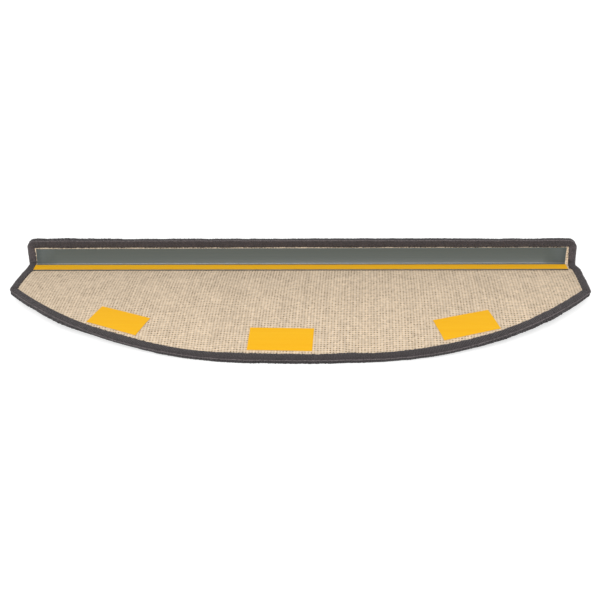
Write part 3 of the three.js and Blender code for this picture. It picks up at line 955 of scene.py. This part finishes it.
# Release paper with a silicone coat: a strong, even yellow with a soft shine and faint streaks.
coated = new_finish("yellow release paper")
place_map = add_node(coated, "TexCoord").outputs["Object"]
streak_map = add_node(
    coated,
    "VectorMath",
    {0: place_map, 1: [1 / (MM * size) for size in STREAK_SIZE + STREAK_SIZE[1:]]},
    operation="MULTIPLY",
).outputs[0]
streaks = add_node(
    coated, "TexNoise", {"Vector": streak_map, "Scale": 1.0, "Detail": 3.0}
).outputs[0]
liner_tone = add_node(coated, "MapRange", {0: streaks, 1: 0.35, 2: 0.75}).outputs[0]
liner_colour = add_node(
    coated, "Mix", {0: liner_tone, 6: linear(LINER_YELLOW), 7: linear(LINER_DEEP)}, data_type="RGBA"
).outputs[2]
paper_bump = add_node(
    coated, "Bump", {"Height": streaks, "Strength": 0.1, "Distance": 0.2 * MM}
).outputs[0]
liner_surface = add_node(
    coated,
    "BsdfPrincipled",
    {
        "Base Color": liner_colour,
        "Roughness": 0.55,
        "Specular IOR Level": 0.3,
        "Normal": paper_bump,
    },
)
add_node(coated, "OutputMaterial", {0: liner_surface.outputs[0]})


def tape_finish(name, pale, deep):
    """Adhesive tape, faintly mottled in two shades."""
    finish = new_finish(name)
    place_map = add_node(finish, "TexCoord").outputs["Object"]
    mottle = add_node(
        finish, "TexNoise", {"Vector": place_map, "Scale": 1 / (MM * MOTTLE_SIZE), "Detail": 2.0}
    ).outputs[0]
    tape_colour = add_node(
        finish, "Mix", {0: mottle, 6: linear(pale), 7: linear(deep)}, data_type="RGBA"
    ).outputs[2]
    tape_bump = add_node(
        finish, "Bump", {"Height": mottle, "Strength": 0.3, "Distance": 0.1 * MM}
    ).outputs[0]
    tape_surface = add_node(
        finish,
        "BsdfPrincipled",
        {"Base Color": tape_colour, "Roughness": 0.45, "IOR": 1.47, "Normal": tape_bump},
    )
    add_node(finish, "OutputMaterial", {0: tape_surface.outputs[0]})
    return finish


# Acrylic adhesive is a dull tan, drawn darker as painted shade so that it shows as a thin dark edge
# under the strip's liner. The pads' foam is a pale cream edge with fine cells, drawn coarser than
# they are so that they show.
adhesive = tape_finish("soft acrylic adhesive with painted shade", ADHESIVE_SHADE_TAN, ADHESIVE_SHADE_BROWN)
foam = tape_finish("cream polyethylene foam", FOAM_CREAM, FOAM_SHADE)

random = np.random.default_rng(37)
strip_x, strip_part = np.meshgrid(
    np.linspace(ANGLE_START, ANGLE_END, STRIP_GRID[0]), np.linspace(0, 1, STRIP_GRID[1])
)
strip_x += LEFT_SLANT * strip_part * (strip_x < ANGLE_START + 1)
strip_front = STRIP_FRONT + np.interp(strip_x, ASKEW_AT, ASKEW_BY)
strip_v = STRIP_BACK + strip_part * (strip_front - STRIP_BACK)
strip_places = np.stack([strip_x, strip_v], axis=-1)
liner_mesh = film_mesh("strip_liner", strip_places, STRIP_LINER_LOW, LINER_THICKNESS, random)
add_piece("strip_liner", liner_mesh, coated, "yellow_liner", "nosing_tape_liner")
tape_v = STRIP_BACK + TAPE_INSET + strip_part * (strip_front - 2 * TAPE_INSET - STRIP_BACK)
tape_places = np.stack([strip_x, tape_v], axis=-1)
tape_thickness = STRIP_LINER_LOW - STRIP_LOW - LINER_GAP
tape_mesh = film_mesh("strip_tape", tape_places, STRIP_LOW, tape_thickness, random)
add_piece("strip_tape", tape_mesh, adhesive, "adhesive_tape", "nosing_tape")
for side, (pad_x, pad_inset, length, width, turn) in PADS.items():
    foam_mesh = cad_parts[f"{side}_pad_tape"].data
    foam_mesh.materials.clear()
    foam_mesh.materials.append(foam)
    along, over = np.meshgrid(
        np.linspace(-length / 2, length / 2, PAD_GRID[0]),
        np.linspace(-width / 2, width / 2, PAD_GRID[1]),
    )
    cos, sin = math.cos(math.radians(turn)), math.sin(math.radians(turn))
    pad_v = edge_at(pad_x, front_rim, BINDING_WIDTH) - pad_inset
    pad_places = np.stack(
        [pad_x + along * cos - over * sin, pad_v + along * sin + over * cos], axis=-1
    )
    pad_mesh = film_mesh(f"{side}_liner", pad_places, PAD_LINER_LOW, LINER_THICKNESS, random)
    add_piece(f"{side}_liner", pad_mesh, coated, "yellow_liner", f"{side}_pad_liner")


# Studio
# A pale floor, one broad soft light from the front at 45 degrees, and an even fill from all
# round. The floor is lifted to white only where it is seen or mirrored, so that the mat keeps a
# faint shadow.
FLOOR_SIZE = 60.0
KEY_ELEVATION = 45.0
KEY_SPREAD = 45.0
KEY_STRENGTH = 2.4
FILL_STRENGTH = 0.34
FLOOR_LIFT = 0.62
FLOOR_GREY = "#cecece"
WHITE = (1, 1, 1, 1)


def seen_plainly(finish):
    """1 for what the camera sees itself or in a gloss or glass, 0 for the light on the mat."""
    rays = add_node(finish, "LightPath").outputs
    mirrored = add_node(
        finish,
        "Math",
        {0: rays["Is Glossy Ray"], 1: rays["Is Transmission Ray"]},
        operation="MAXIMUM",
    ).outputs[0]
    return add_node(
        finish, "Math", {0: rays["Is Camera Ray"], 1: mirrored}, operation="MAXIMUM"
    ).outputs[0]


# Backdrop paper: matt and shadowed by the mat, but as bright as a lit studio's where it is seen.
paper = new_finish("white backdrop paper")
seen = add_node(
    paper, "Math", {0: seen_plainly(paper), 1: FLOOR_LIFT}, operation="MULTIPLY"
).outputs[0]
paper_diffuse = add_node(paper, "BsdfDiffuse", {"Color": linear(FLOOR_GREY)}).outputs[0]
paper_lift = add_node(paper, "Emission", {"Color": WHITE, "Strength": seen}).outputs[0]
paper_surface = add_node(paper, "AddShader", {0: paper_diffuse, 1: paper_lift}).outputs[0]
add_node(paper, "OutputMaterial", {0: paper_surface})

floor_mesh = bpy.data.meshes.new("floor")
half_floor = FLOOR_SIZE / 2
floor_corners = [
    (x * half_floor, y * half_floor, 0) for x, y in ((-1, -1), (1, -1), (1, 1), (-1, 1))
]
floor_mesh.from_pydata(floor_corners, [], [(0, 1, 2, 3)])
floor_mesh.materials.append(paper)
floor = bpy.data.objects.new("floor", floor_mesh)
bpy.context.scene.collection.objects.link(floor)

key = bpy.data.objects.new("key_light", bpy.data.lights.new("key_light", "SUN"))
key.data.energy = KEY_STRENGTH
key.data.angle = math.radians(KEY_SPREAD)
key.rotation_euler = (math.radians(90 - KEY_ELEVATION), 0, 0)
bpy.context.scene.collection.objects.link(key)

world = bpy.data.worlds.new("studio")
world.use_nodes = True
bpy.context.scene.world = world
world.node_tree.nodes.clear()
brightness = add_node(
    world, "MapRange", {0: seen_plainly(world), 3: FILL_STRENGTH, 4: 1.0}
).outputs[0]
sky = add_node(world, "Background", {"Color": WHITE, "Strength": brightness}).outputs[0]
add_node(world, "OutputWorld", {0: sky})

bpy.context.scene.view_settings.view_transform = "Standard"
